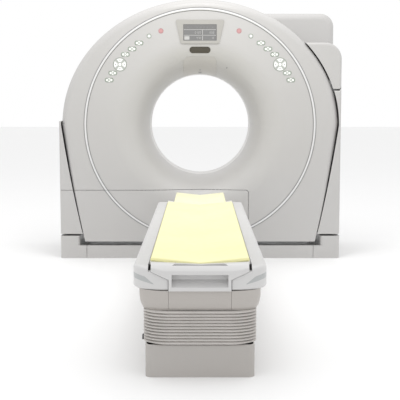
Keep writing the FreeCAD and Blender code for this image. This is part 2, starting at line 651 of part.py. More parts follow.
def make_rotor():
    rear = DRUM_Y + DRUM_T
    drum = tube_y(0, ISO_Z, DRUM_HOLE, DRUM_R, DRUM_Y, rear)
    drum = drum.fuse(tube_y(0, ISO_Z, DRUM_R - 25, DRUM_R, DRUM_Y - BELT_W - 5, rear))
    inner_race = tube_y(0, ISO_Z, BEARING_R - 40, BEARING_R, rear, rear + 55)
    save("rotor_drum", Part.makeCompound([drum.removeSplitter(), inner_race]))
    save("slip_ring", tube_y(0, ISO_Z, BEARING_R - 90, BEARING_R - 45, rear, rear + 100))
    above, radius, neck, neck_length = TUBE
    tube_z = ISO_Z + above
    tube = rod_y(0, tube_z, radius, ROTOR_NEAR, DRUM_Y)
    tube = tube.fuse(rod_y(0, tube_z, neck, ROTOR_NEAR - neck_length, ROTOR_NEAR))
    half, near = TUBE_BLOCK
    save("xray_tube", tube.fuse(box(-half, half, near, DRUM_Y, ISO_Z + DRUM_HOLE + 10,
                                    tube_z - TUBE_SEAT)))
    for name, (x0, x1, tall) in (("hv_generator", GENERATOR), ("tube_cooler", COOLER)):
        save(name, box(x0, x1, ROTOR_NEAR, DRUM_Y, ISO_Z - tall, ISO_Z + tall))
    inner, outer, angle = DETECTOR
    side, down = math.sin(math.radians(angle)), math.cos(math.radians(angle))
    reach = outer / down + SEAM
    wedge = prism([(0, ISO_Z), (-reach * side, ISO_Z - reach * down),
                   (reach * side, ISO_Z - reach * down)], "y", DETECTOR_NEAR, DRUM_Y)
    save("detector", tube_y(0, ISO_Z, inner, outer, DETECTOR_NEAR, DRUM_Y).common(wedge))


# ---- patient table --------------------------------------------------------------------------
def nose_plan(half, flat, near, far, low, high, round_far=0.0):
    """A block whose near end is flat in the middle and sweeps back in quarter ellipses."""
    wide = half - flat
    deep = NOSE_SHAPE * wide
    edges = []
    for side, start in ((1, -math.pi / 2), (-1, math.pi)):
        centre = V(side * flat, near + deep, low)
        sweep = Part.Ellipse(centre + V(wide, 0, 0), centre + V(0, deep, 0), centre)
        edges.append(Part.Arc(sweep, start, start + math.pi / 2).toShape())
    edges.append(Part.makeLine(V(-flat, near, low), V(flat, near, low)))
    edges.append(Part.makeLine(V(half, near + deep, low), V(half, far, low)))
    edges.append(Part.makeLine(V(half, far, low), V(-half, far, low)))
    edges.append(Part.makeLine(V(-half, far, low), V(-half, near + deep, low)))
    block = Part.Face(Part.Wire(Part.sortEdges(edges)[0])).extrude(V(0, 0, high - low))
    if not round_far:
        return block
    return block.makeFillet(round_far, edges_where(
        block, lambda e: along(e, V(0, 0, 1)) and e.BoundBox.Center.y > far - 1))


def falling_end(near, top, fall, reach):
    """What is taken off the near end of a top face, so that it curves down to its front."""
    radius = (fall ** 2 + reach ** 2) / (2 * fall)
    start = near + reach
    corner = box(-SIDE_X, SIDE_X, near - 20, start, top - fall - 1, top + 60)
    return corner.cut(rod_x(start, top - radius, radius, -SIDE_X - 1, SIDE_X + 1))


def make_table_base():
    wall = SKIN + 1
    near, far = BASE_NEAR, BASE_FAR
    base = round_box(-BASE_X, BASE_X, near, far, 0, BASE_TOP, BASE_ROUND)
    base = base.makeChamfer(BASE_EDGE, edges_where(
        base, lambda e: e.BoundBox.ZMin > BASE_TOP - 1))
    hollow = round_box(-BASE_X + wall, BASE_X - wall, near + wall, far - wall, COLUMN_BOTTOM,
                       BASE_TOP + 1, BASE_ROUND - wall)
    base = base.cut(hollow)
    for x in (-TABLE_ANCHOR_X, TABLE_ANCHOR_X):
        for y in (near + TABLE_ANCHOR_IN, far - TABLE_ANCHOR_IN):
            base = base.cut(Part.makeCylinder(TABLE_ANCHOR_R, COLUMN_BOTTOM + 2, V(x, y, -1)))
    save("table_base", base)

    half = BASE_X + BELLOWS_PROUD
    low, high = BASE_TOP + SEAT, APRON_BOTTOM - SEAT
    near, far = TABLE_NEAR, far + BELLOWS_PROUD
    outer = nose_plan(half, KEYSTONE_X, near, far, low, high, BASE_ROUND)
    inner = nose_plan(half - BELLOWS_T, KEYSTONE_X - BELLOWS_T, near + BELLOWS_T,
                      far - BELLOWS_T, low - 1, high + 1, BASE_ROUND - BELLOWS_T)
    save("bellows", outer.cut(inner))


def tube_column(level, bottom, top):
    """One telescope of the lift: a rectangular tube, nested by level."""
    step = level * (COLUMN_WALL + SEAT)
    half_x, half_y = COLUMN[0] - step, COLUMN[1] - step
    tubes = []
    for y in COLUMN_Y:
        outer = box(-half_x, half_x, y - half_y, y + half_y, bottom, top)
        inner = box(-half_x + COLUMN_WALL, half_x - COLUMN_WALL, y - half_y + COLUMN_WALL,
                    y + half_y - COLUMN_WALL, bottom - 1, top + 1)
        tubes.append(outer.cut(inner))
    return Part.makeCompound(tubes)


def make_lift():
    save("lift_outer", tube_column(0, COLUMN_BOTTOM, FRAME_LOW - 45))
    save("lift_middle", tube_column(1, COLUMN_BOTTOM + SEAT, FRAME_LOW - 30))
    save("lift_inner", tube_column(2, COLUMN_BOTTOM + 2 * SEAT, FRAME_LOW))

    half = RAIL_IN + FRAME_SEAT
    far = APRON_FAR - SKIN - BASE_ROUND
    frame = box(-half, half, SLIDE_NEAR, far, FRAME_LOW, RAIL_BOTTOM - SEAT)
    middle = sum(COLUMN_Y) / 2
    room = COLUMN[1] + FRAME_BAR
    for y0, y1 in ((SLIDE_NEAR + FRAME_BAR, COLUMN_Y[0] - room),
                   (COLUMN_Y[0] + room, middle - FRAME_BAR / 2),
                   (middle + FRAME_BAR / 2, COLUMN_Y[1] - room),
                   (COLUMN_Y[1] + room, far - FRAME_BAR)):
        frame = frame.cut(box(-half + FRAME_SIDE, half - FRAME_SIDE, y0, y1, FRAME_LOW - 1,
                              RAIL_BOTTOM))
    guide = box(GUIDE_X, GUIDE_X + GUIDE_W, SLIDE_NEAR, far, RAIL_BOTTOM - SEAT, GUIDE_TOP)
    save("table_frame", Part.makeCompound([frame, guide, mirrored(guide)]))


def apron_block(inset):
    """The apron's outside, or its inside: upright at the top and curved in underneath."""
    low, high = APRON_BOTTOM, RAIL_BOTTOM - SEAT
    wires = []
    for share, curve in APRON_CURVE:
        z = low + share * (high - low)
        half = APRON_X - curve - inset
        ring = nose_plan(half, KEYSTONE_X - inset, TABLE_NEAR + curve + inset,
                         APRON_FAR - curve - inset, z, z + 1, BASE_ROUND)
        lowest = min(ring.Faces, key=lambda face: face.CenterOfMass.z)
        wires.append(lowest.OuterWire)
    return Part.makeLoft(wires, True, True)


def make_apron():
    shell = apron_block(0).cut(apron_block(SKIN))
    near = TABLE_NEAR + 3 * SKIN
    centre = box(-KEYSTONE_X, KEYSTONE_X, TABLE_NEAR - 20, near, 0, TABLE_TOP)
    gap = box(-KEYSTONE_X - 1, KEYSTONE_X + 1, TABLE_NEAR - 20, near + 1, 0, TABLE_TOP)
    save("apron", Part.makeCompound([largest(shell.cut(gap)), largest(shell.common(centre))]))


def make_side_rails():
    """Side rails with a near-end block that fills the corner beside the end cover."""
    beam = box(RAIL_IN, RAIL_OUT, TABLE_NEAR, TABLE_FAR, RAIL_BOTTOM, TABLE_TOP)
    gap = SEAM - 0.5
    block = prism([(KEYSTONE_X + gap, RAIL_BOTTOM), (RAIL_OUT, RAIL_BOTTOM),
                   (RAIL_OUT, TABLE_TOP), (RAIL_IN - 1, TABLE_TOP),
                   (RAIL_IN - 1, DECK_LOW - gap), (DECK_X + gap, DECK_LOW - gap),
                   (KEYSTONE_X + gap, SHOULDER_Z - gap)], "y", TABLE_NEAR,
                  TABLE_NEAR + DECK_LENGTH)
    rail = beam.fuse(block).removeSplitter()
    rail = rail.common(nose_plan(RAIL_OUT, KEYSTONE_X, TABLE_NEAR, TABLE_FAR, RAIL_BOTTOM,
                                 TABLE_TOP))
    rail = rail.cut(falling_end(TABLE_NEAR, TABLE_TOP, RAIL_FALL, FALL_LENGTH))

    def outside(edge):
        box_ = edge.BoundBox
        level = box_.ZMax < RAIL_BOTTOM + 1 or box_.ZMin > TABLE_TOP - RAIL_FALL - 1
        return level and (box_.XMax > RAIL_OUT - 1 or box_.YMax < TABLE_NEAR + 1
                          or (box_.XMin > RAIL_IN + 1 and box_.YMin < TABLE_NEAR + 60)
                          ) and box_.XLength + box_.YLength > 1 and not (
                              abs(box_.YLength) < 0.1 and box_.YMin > TABLE_NEAR + 1)

    rail = rail.makeFillet(RAIL_ROUND, edges_where(rail, outside))
    save("side_rails", both(rail))


def dish(width, drop, y0, y1, thickness):
    """A strip bent like the cradle; drop is how far its top lies below the cradle's top."""
    radius = (CRADLE_X ** 2 + CRADLE_SAG ** 2) / (2 * CRADLE_SAG)
    centre_z = DECK_TOP - CRADLE_SAG + radius

    def arc(r):
        x = width
        z = centre_z - math.sqrt(r ** 2 - x ** 2)
        return Part.Arc(V(-x, y0, z), V(0, y0, centre_z - r), V(x, y0, z)).toShape()

    top, low = arc(radius + drop), arc(radius + drop + thickness)
    sides = [Part.makeLine(top.Vertexes[i].Point, low.Vertexes[i].Point) for i in (0, 1)]
    face = Part.Face(Part.Wire(Part.sortEdges([top, low] + sides)[0]))
    return face.extrude(V(0, y1 - y0, 0))


def folded_pad(half, thickness, near, far):
    """A pad with a fold along its middle: its two halves slope down to it, and it lies in
    the dish."""
    edge_z = DECK_TOP + thickness
    fold_z = edge_z - CRADLE_SAG * half / CRADLE_X
    pad = prism([(-half, edge_z), (0, fold_z), (half, edge_z), (half, RAIL_BOTTOM),
                 (-half, RAIL_BOTTOM)], "y", near, far)
    return largest(pad.cut(dish(CRADLE_X, -SEAT, near - 1, far + 1, 200)))


def make_cradle():
    cradle = dish(CRADLE_X, 0, TABLE_NEAR + DECK_LENGTH, CRADLE_FAR, CRADLE_T)
    runner = box(GUIDE_X - 10, GUIDE_X + GUIDE_W + 10, SLIDE_NEAR + 20, TABLE_FAR - 90,
                 GUIDE_TOP + SEAT, DECK_TOP)
    above = dish(CRADLE_X, -200, TABLE_NEAR, 0, 200 + CRADLE_T / 2)
    runner = runner.cut(above)
    cradle = cradle.fuse([runner, mirrored(runner)])
    save("cradle", cradle.removeSplitter())

    near = TABLE_NEAR - COVER_PROUD
    block = prism([(-KEYSTONE_X, RAIL_BOTTOM), (KEYSTONE_X, RAIL_BOTTOM),
                   (KEYSTONE_X, SHOULDER_Z), (DECK_X, DECK_LOW), (DECK_X, DECK_TOP),
                   (0, DECK_TOP - DECK_DIP), (-DECK_X, DECK_TOP), (-DECK_X, DECK_LOW),
                   (-KEYSTONE_X, SHOULDER_Z)],
                  "y", near, TABLE_NEAR + DECK_LENGTH)
    block = block.common(nose_plan(RAIL_OUT, KEYSTONE_X, near, TABLE_FAR, RAIL_BOTTOM,
                                   DECK_TOP))
    block = block.cut(falling_end(near, DECK_TOP, DECK_FALL, FALL_LENGTH))
    block = block.makeFillet(COVER_ROUND, edges_where(
        block, lambda e: e.BoundBox.YMax < near + 1 and e.BoundBox.ZMin > DECK_LOW - 15
        and e.BoundBox.XLength > 50))
    low, high, deep = HANDLE
    recess = prism([(near - 1, low), (near - 1, high), (near + deep, high),
                    (near + deep, (low + high) / 2)], "x", -HANDLE_X, HANDLE_X)
    recess = recess.makeFillet(8, edges_where(recess, lambda e: along(e, V(0, 1, 0))
                                              or along(e, V(0, 0, 1))))
    y0, y1 = near + SLOT_Y[0], near + SLOT_Y[1]
    slot = Part.Face(Part.makePolygon([V(-SLOT_X[0], y0, 0), V(SLOT_X[0], y0, 0),
                                       V(SLOT_X[1], y1, 0), V(-SLOT_X[1], y1, 0),
                                       V(-SLOT_X[0], y0, 0)]))
    slot = slot.extrude(V(0, 0, 100))
    slot.translate(V(0, 0, SLOT_FLOOR))
    save("cradle_end_cover", block.cut(recess).cut(slot).removeSplitter())

    save("mattress", folded_pad(MATTRESS_X, MATTRESS_T, TABLE_NEAR + DECK_LENGTH + 5,
                                MATTRESS_FAR))
    holder = dish(HOLDER_X, 0, CRADLE_FAR + SEAT, HEAD_TIP, 8)
    middle_z = DECK_TOP - CRADLE_SAG - CRADLE_T
    tongue = box(-60, 60, CRADLE_FAR - 60, CRADLE_FAR + 25, middle_z - 20, middle_z - SEAT)
    link = box(-60, 60, CRADLE_FAR + 1, CRADLE_FAR + 25, middle_z - 10, middle_z + 8)
    save("head_holder", holder.fuse([tongue, link]).removeSplitter())
    save("head_pad", folded_pad(HEAD_PAD_X, HEAD_PAD_T, MATTRESS_FAR + 4, HEAD_PAD_FAR))


make_front()
make_other_covers()
make_side_covers()
make_floor_parts()
make_stands()
make_tilt_frame()
make_rotor()
make_table_base()
make_lift()
make_apron()
make_side_rails()
make_cradle()
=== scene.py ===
"""Computed-tomography scanner: materials, padded pieces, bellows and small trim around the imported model.

Metres, in the model's own frame: +Z up, +Y from the table's foot end into the bore.
"""

import json
import math

import bmesh
import bpy
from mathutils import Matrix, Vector
from mathutils.bvhtree import BVHTree


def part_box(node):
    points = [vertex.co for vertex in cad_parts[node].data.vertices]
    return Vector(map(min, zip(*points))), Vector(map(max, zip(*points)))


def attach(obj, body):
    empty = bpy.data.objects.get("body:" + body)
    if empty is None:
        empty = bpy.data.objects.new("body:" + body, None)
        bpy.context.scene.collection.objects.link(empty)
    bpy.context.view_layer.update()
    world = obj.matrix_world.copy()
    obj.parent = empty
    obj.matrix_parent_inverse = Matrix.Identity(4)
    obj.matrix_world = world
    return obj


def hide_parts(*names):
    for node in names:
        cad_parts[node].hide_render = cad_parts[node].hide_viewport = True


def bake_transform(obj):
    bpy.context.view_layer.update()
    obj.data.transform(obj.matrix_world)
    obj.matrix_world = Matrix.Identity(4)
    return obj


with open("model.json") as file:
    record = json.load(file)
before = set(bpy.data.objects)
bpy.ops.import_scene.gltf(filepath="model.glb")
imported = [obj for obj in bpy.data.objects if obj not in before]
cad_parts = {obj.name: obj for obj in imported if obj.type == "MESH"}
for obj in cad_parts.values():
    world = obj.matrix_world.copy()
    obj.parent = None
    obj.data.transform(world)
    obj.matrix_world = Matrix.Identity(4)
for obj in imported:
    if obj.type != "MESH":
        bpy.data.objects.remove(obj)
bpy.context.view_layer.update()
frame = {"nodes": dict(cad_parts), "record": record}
NODES = frame["nodes"]
FACE_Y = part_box("front_cover")[0].y      # the gantry's front plane
AXIS_Z = 0.97                            # height of the bore axis
TRIM_RADIUS = 0.828                      # middle of the trim ring


# ---- materials ------------------------------------------------------------------------------
class Shader:
    """A principled material with helpers for its texture nodes."""

    def __init__(self, name, colour, rough, metal=0.0, **sockets):
        self.material = bpy.data.materials.new(name)
        self.material.use_nodes = True
        self.tree = self.material.node_tree
        self.bsdf = self.tree.nodes["Principled BSDF"]
        self.colour = colour
        self.rough = rough
        self.normal = None
        self.set("Base Color", (*colour, 1.0))
        self.set("Roughness", rough)
        self.set("Metallic", metal)
        for socket, value in sockets.items():
            self.set(socket.replace("_", " "), value)

    def set(self, socket, value):
        self.bsdf.inputs[socket].default_value = value

    def node(self, kind, **inputs):
        node = self.tree.nodes.new("ShaderNode" + kind)
        for name, value in inputs.items():
            socket = node.inputs[name.replace("_", " ")]
            if isinstance(value, bpy.types.NodeSocket):
                self.tree.links.new(value, socket)
            else:
                socket.default_value = value
        return node

    def place(self, scale=(1.0, 1.0, 1.0), turn=(0.0, 0.0, 0.0)):
        where = self.node("TexCoord").outputs["Object"]
        return self.node("Mapping", Vector=where, Scale=scale, Rotation=turn).outputs["Vector"]

    def noise(self, scale, detail=2.0, rough=0.5, stretch=(1.0, 1.0, 1.0)):
        node = self.node("TexNoise", Vector=self.place(stretch), Scale=scale, Detail=detail,
                         Roughness=rough)
        return node.outputs["Fac"]

    def cells(self, scale, stretch=(1.0, 1.0, 1.0), feature="F1", out="Distance"):
        node = self.node("TexVoronoi", Vector=self.place(stretch), Scale=scale)
        node.feature = feature
        return node.outputs[out]

    def wave(self, scale, axis, distortion=0.0, turn=(0.0, 0.0, 0.0)):
        node = self.node("TexWave", Vector=self.place(turn=turn), Scale=scale,
                         Distortion=distortion)
        node.bands_direction = axis
        return node.outputs["Fac"]

    def math(self, kind, a, b):
        node = self.tree.nodes.new("ShaderNodeMath")
        node.operation = kind
        for slot, value in ((0, a), (1, b)):
            if isinstance(value, bpy.types.NodeSocket):
                self.tree.links.new(value, node.inputs[slot])
            else:
                node.inputs[slot].default_value = value
        return node.outputs[0]

    def span(self, value, low, high, start, end):
        node = self.node("MapRange", Value=value)
        for slot, number in (("From Min", start), ("From Max", end), ("To Min", low),
                             ("To Max", high)):
            node.inputs[slot].default_value = number
        return node.outputs["Result"]

    def tint(self, factor, stops):
        """Base colour: the material's colour times a grey or tint that follows a texture."""
        ramp = self.tree.nodes.new("ShaderNodeValToRGB")
        self.tree.links.new(factor, ramp.inputs["Fac"])
        entries = ramp.color_ramp.elements
        while len(entries) < len(stops):
            entries.new(0.5)
        for entry, (place, shade) in zip(entries, stops):
            shade = shade if isinstance(shade, tuple) else (shade, shade, shade)
            entry.position = place
            entry.color = (*[min(1.0, c * s) for c, s in zip(self.colour, shade)], 1.0)
        self.tree.links.new(ramp.outputs["Color"], self.bsdf.inputs["Base Color"])

    def mix_over(self, factor, colour):
        """Lay another colour over the base colour where factor is high."""
        mix = self.tree.nodes.new("ShaderNodeMix")
        mix.data_type = "RGBA"
        self.tree.links.new(factor, mix.inputs["Factor"])
        base = self.bsdf.inputs["Base Color"]
        if base.links:
            self.tree.links.new(base.links[0].from_socket, mix.inputs["A"])
        else:
            mix.inputs["A"].default_value = base.default_value
        mix.inputs["B"].default_value = (*colour, 1.0)
        self.tree.links.new(mix.outputs["Result"], base)

    def vary_rough(self, factor, spread):
        low, high = max(0.02, self.rough - spread), min(1.0, self.rough + spread)
        self.tree.links.new(self.span(factor, low, high, 0.3, 0.7), self.bsdf.inputs["Roughness"])

    def bump(self, height, distance, strength=1.0):
        node = self.node("Bump", Height=height, Distance=distance, Strength=strength)
        if self.normal:
            self.tree.links.new(self.normal, node.inputs["Normal"])
        self.normal = node.outputs["Normal"]
        self.tree.links.new(self.normal, self.bsdf.inputs["Normal"])


def moulded(name, colour, rough=0.42, grain=900.0, depth=0.00006, **sockets):
    """Lacquered moulding: a soft cloudy tone, fine spray texture and slow waviness."""
    sh = Shader(name, colour, rough, **sockets)
    sh.tint(sh.noise(1.6, 3.0), ((0.3, (0.985, 0.98, 0.975)), (0.7, 1.012)))
    sh.vary_rough(sh.noise(14.0, 3.0), 0.05)
    sh.bump(sh.noise(5.0, 1.0), 0.0006, 0.35)
    sh.bump(sh.noise(grain, 2.0), depth, 0.5)
    return sh


def painted(name, colour, rough=0.45):
    """Painted metal: orange peel, and edges of bare metal where the paint is thin."""
    sh = Shader(name, colour, rough)
    sh.tint(sh.noise(6.0, 4.0), ((0.3, 0.9), (0.7, 1.06)))
    sh.vary_rough(sh.noise(30.0, 3.0), 0.08)
    sh.bump(sh.cells(420.0), 0.00015, 0.4)
    worn = sh.math("MULTIPLY", sh.span(sh.node("NewGeometry").outputs["Pointiness"],
                                       0.0, 1.0, 0.53, 0.6), sh.noise(60.0, 4.0))
    sh.mix_over(worn, (0.55, 0.55, 0.55))
    return sh


def machined(name, colour, rough=0.32, stretch=(1.0, 1.0, 40.0), scale=60.0):
    """Bare metal with fine lines along one direction."""
    sh = Shader(name, colour, rough, metal=1.0)
    lines = sh.noise(scale, 5.0, 0.65, stretch)
    sh.tint(lines, ((0.3, 0.86), (0.7, 1.06)))
    sh.vary_rough(lines, 0.1)
    sh.bump(lines, 0.00004, 0.5)
    return sh


def turned(name, colour, rough=0.28):
    """Lathe-turned metal: rings about the bore axis."""
    sh = Shader(name, colour, rough, metal=1.0)
    shift = sh.node("Mapping", Vector=sh.node("TexCoord").outputs["Object"],
                    Location=(0.0, 0.0, -AXIS_Z)).outputs["Vector"]
    rings = sh.node("TexWave", Vector=shift, Scale=160.0, Distortion=0.4, Detail=2.0)
    rings.wave_type = "RINGS"
    rings.rings_direction = "Y"
    sh.tint(rings.outputs["Fac"], ((0.1, 0.9), (0.9, 1.04)))
    sh.vary_rough(sh.noise(25.0, 4.0), 0.09)
    sh.bump(rings.outputs["Fac"], 0.00003, 0.4)
    return sh


def vinyl(name, colour):
    """Coated upholstery: pebbled grain, faint creases and a soft sheen."""
    sh = Shader(name, colour, 0.5, Sheen_Weight=0.15, Sheen_Roughness=0.5, Subsurface_Weight=0.0)
    sh.tint(sh.noise(3.5, 4.0), ((0.3, (0.985, 0.985, 0.93)), (0.7, (1.01, 1.01, 1.02))))
    sh.vary_rough(sh.noise(40.0, 3.0), 0.07)
    sh.bump(sh.noise(9.0, 3.0, stretch=(1.0, 0.35, 1.0)), 0.0016, 0.4)
    sh.bump(sh.cells(650.0, feature="SMOOTH_F1"), 0.0002, 0.55)
    return sh


def woven(name, colour, rough=0.62):
    """Coated fabric: a plain weave under a thin film."""
    sh = Shader(name, colour, rough, Sheen_Weight=0.1)
    weave = sh.math("MULTIPLY", sh.wave(420.0, "X"), sh.wave(420.0, "Z"))
    across = sh.math("MULTIPLY", sh.wave(420.0, "Y"), sh.wave(420.0, "Z"))
    cloth = sh.math("MAXIMUM", weave, across)
    sh.tint(sh.noise(7.0, 4.0), ((0.3, 0.95), (0.7, 1.04)))
    sh.vary_rough(cloth, 0.06)
    sh.bump(cloth, 0.00018, 0.5)
    sh.bump(sh.noise(35.0, 3.0), 0.0005, 0.3)
    return sh


def glossy(name, colour, rough=0.12):
    """Smooth window: clear coat over a dark or tinted sheet, with faint haze."""
    sh = Shader(name, colour, rough, Coat_Weight=0.5, Coat_Roughness=0.06)
    sh.tint(sh.noise(18.0, 3.0), ((0.3, 0.94), (0.7, 1.05)))
    sh.vary_rough(sh.noise(70.0, 4.0), 0.04)
    sh.bump(sh.noise(40.0, 2.0), 0.00005, 0.3)
    return sh


def laminate(name, colour):
    """White gel coat over a twill cloth that shows through faintly."""
    sh = Shader(name, colour, 0.35, Coat_Weight=0.25, Coat_Roughness=0.15)
    warp = sh.wave(150.0, "DIAGONAL", 0.2)
    weft = sh.wave(150.0, "DIAGONAL", 0.2, turn=(0.0, 0.0, math.pi / 2))
    twill = sh.math("MULTIPLY", warp, weft)
    sh.tint(twill, ((0.1, 0.97), (0.9, 1.01)))
    sh.vary_rough(sh.noise(20.0, 3.0), 0.05)
    sh.bump(twill, 0.00008, 0.4)
    return sh


def rubber(name, colour):
    sh = Shader(name, colour, 0.75)
    sh.tint(sh.noise(40.0, 4.0), ((0.3, 0.8), (0.7, 1.3)))
    sh.vary_rough(sh.noise(90.0, 3.0), 0.08)
    sh.bump(sh.cells(700.0), 0.0002, 0.6)
    return sh


def banded_ring(name, colour, edge_shade_colour):
    """The trim ring: a light band with a line of painted shade along both of its edges, where the ring
    steps into the cover.
    """
    sh = moulded(name, colour, 0.3)
    flat = sh.node("Mapping", Vector=sh.node("TexCoord").outputs["Object"],
                   Location=(0.0, 0.0, -AXIS_Z), Scale=(1.0, 0.0, 1.0)).outputs["Vector"]
    length = sh.node("VectorMath", Vector=flat)
    length.operation = "LENGTH"
    off = sh.math("ABSOLUTE", sh.math("SUBTRACT", length.outputs["Value"], TRIM_RADIUS), 0.0)
    # painted shade: dark lines at both edges of the ring stand in for the shade of the step between ring
    # and cover
    sh.mix_over(sh.span(off, 0.0, 1.0, 0.0055, 0.0075), edge_shade_colour)
    return sh


def floor_paint():
    sh = Shader("studio_floor", (0.9, 0.9, 0.9), 0.85)
    sh.tint(sh.noise(2.0, 2.0), ((0.3, 0.997), (0.7, 1.0)))
    sh.bump(sh.noise(300.0, 2.0), 0.0001, 0.2)
    return sh


SHADERS = {
    "cover_white": moulded("cover_white", (0.52, 0.512, 0.502), 0.34),
    "frame_steel": painted("frame_steel", (0.17, 0.18, 0.19)),
    "motor_metal": painted("motor_metal", (0.08, 0.11, 0.16)),
    "base_grey": moulded("base_grey", (0.43, 0.41, 0.39), 0.5, 700.0, 0.0001),
    "bellows_fabric": woven("bellows_fabric", (0.56, 0.535, 0.51)),
    "bare_steel": machined("bare_steel", (0.62, 0.62, 0.63)),
    # the last colour is the painted shade along the trim ring's edges
    "ring_grey": banded_ring("ring_grey", (0.72, 0.72, 0.72), (0.24, 0.24, 0.24)),
    "liner_plastic": moulded("liner_plastic", (0.72, 0.71, 0.70), 0.4),
    "bezel_plastic": moulded("bezel_plastic", (0.41, 0.40, 0.375), 0.38),
    "display_glass": glossy("display_glass", (0.185, 0.182, 0.18)),
    "dark_window": glossy("dark_window", (0.045, 0.038, 0.045)),
    "projector_plastic": moulded("projector_plastic", (0.52, 0.505, 0.485), 0.4),
    "belt_rubber": rubber("belt_rubber", (0.02, 0.02, 0.02)),
    "drum_aluminium": turned("drum_aluminium", (0.72, 0.73, 0.74)),
    "slip_ring_brass": turned("slip_ring_brass", (0.72, 0.52, 0.25), 0.22),
    "tube_metal": painted("tube_metal", (0.62, 0.63, 0.65)),
    "module_metal": machined("module_metal", (0.5, 0.52, 0.55), 0.4, (1.0, 30.0, 1.0)),
    "detector_metal": machined("detector_metal", (0.16, 0.17, 0.2), 0.45, (1.0, 30.0, 1.0)),
    "apron_plastic": moulded("apron_plastic", (0.46, 0.435, 0.41), 0.45),
    "rail_white": moulded("rail_white", (0.62, 0.617, 0.615), 0.36),
    "carbon_shell": laminate("carbon_shell", (0.72, 0.71, 0.69)),
    "mattress_vinyl": vinyl("mattress_vinyl", (0.88, 0.85, 0.47)),
    "pad_vinyl": vinyl("pad_vinyl", (0.90, 0.88, 0.57)),
    "stop_red": moulded("stop_red", (0.55, 0.30, 0.30), 0.3, 1500.0, 0.00003),
    "key_white": moulded("key_white", (0.92, 0.92, 0.91), 0.3, 1500.0, 0.00003),
    "pad_grey": moulded("pad_grey", (0.44, 0.46, 0.43), 0.4, 1500.0, 0.00003),
    # this grey-green serves printed marks and the rings of painted shade around the keys
    "print_and_shade_green": moulded("print_and_shade_green", (0.26, 0.31, 0.25), 0.45, 1500.0, 0.00002),
    "print_red": moulded("print_red", (0.50, 0.26, 0.27), 0.45, 1500.0, 0.00002),
    "print_grey": moulded("print_grey", (0.30, 0.30, 0.30), 0.45, 1500.0, 0.00002),
    "screen_light": moulded("screen_light", (0.50, 0.50, 0.49), 0.25, 1500.0, 0.00001),
    "screen_dark": moulded("screen_dark", (0.20, 0.20, 0.20), 0.25, 1500.0, 0.00001),
    "inlay_grey": moulded("inlay_grey", (0.44, 0.455, 0.455), 0.3, 1500.0, 0.00003),
    "tab_black": rubber("tab_black", (0.05, 0.05, 0.055)),
}
SLOT_OF = {part["node"]: part["material_slot"] for part in frame["record"]["subparts"]}
for name, node in NODES.items():
    node.data.materials[0] = SHADERS[SLOT_OF[name]].material


# ---- mesh helpers ---------------------------------------------------------------------------
def new_piece(name, verts, faces, shader, smooth=True):
    mesh = bpy.data.meshes.new(name)
    mesh.from_pydata([tuple(v) for v in verts], [], faces)
    mesh.materials.append(SHADERS[shader].material)
    bm = bmesh.new()
    bm.from_mesh(mesh)
    bmesh.ops.recalc_face_normals(bm, faces=bm.faces)
    bm.to_mesh(mesh)
    bm.free()
    for polygon in mesh.polygons:
        polygon.use_smooth = smooth
    piece = bpy.data.objects.new(name, mesh)
    bpy.context.scene.collection.objects.link(piece)
    return piece


def sharpen(piece, degrees=35):
    """Smooth shading that keeps edges steeper than this angle."""
    piece.data.set_sharp_from_angle(angle=math.radians(degrees))


class Plates:
    """Thin raised shapes in the XZ plane, gathered into one mesh."""

    def __init__(self):
        self.verts, self.faces = [], []

    def add(self, outline, front, back, holes=None):
        """outline and holes are equal-length lists of (x, z); front and back are y values."""
        n, base = len(outline), len(self.verts)
        if holes is None:
            self.verts += [(x, front, z) for x, z in outline]
            self.verts += [(x, back, z) for x, z in outline]
            self.faces.append([base + i for i in range(n)])
            self.faces.append([base + n + i for i in reversed(range(n))])
            for i in range(n):
                j = (i + 1) % n
                self.faces.append((base + i, base + n + i, base + n + j, base + j))
            return
        for loop in (outline, holes):
            for y in (front, back):
                self.verts += [(x, y, z) for x, z in loop]
        for i in range(n):
            j = (i + 1) % n
            of, ob, hf, hb = base, base + n, base + 2 * n, base + 3 * n
            self.faces.append((of + i, of + j, hf + j, hf + i))
            self.faces.append((ob + i, hb + i, hb + j, ob + j))
            self.faces.append((of + i, ob + i, ob + j, of + j))
            self.faces.append((hf + i, hf + j, hb + j, hb + i))

    def piece(self, name, shader, body):
        piece = new_piece(name, self.verts, self.faces, shader, smooth=False)
        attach(piece, body)
        return piece


def circle(x, z, radius, count=40):
    return [(x + radius * math.cos(2 * math.pi * i / count),
             z + radius * math.sin(2 * math.pi * i / count)) for i in range(count)]


def capsule(x, z, half, radius, count=48):
    """A stadium: two half circles whose centres are 2 * half apart."""
    points = []
    for i in range(count):
        angle = 2 * math.pi * (i + 0.5) / count
        side = 1 if math.cos(angle) > 0 else -1
        points.append((x + side * half + radius * math.cos(angle), z + radius * math.sin(angle)))
    return points


def rectangle(x0, x1, z0, z1, radius=0.0, steps=4):
    if not radius:
        return [(x0, z0), (x1, z0), (x1, z1), (x0, z1)]
    points = []
    for cx, cz, start in ((x1 - radius, z0 + radius, -90), (x1 - radius, z1 - radius, 0),
                          (x0 + radius, z1 - radius, 90), (x0 + radius, z0 + radius, 180)):
        for i in range(steps + 1):
            angle = math.radians(start + 90 * i / steps)
            points.append((cx + radius * math.cos(angle), cz + radius * math.sin(angle)))
    return points


def surface_of(*names):
    """A search tree over the outside of some CAD nodes."""
    bm = bmesh.new()
    for name in names:
        bm.from_mesh(NODES[name].data)
    tree = BVHTree.FromBMesh(bm)
    bm.free()
    return tree


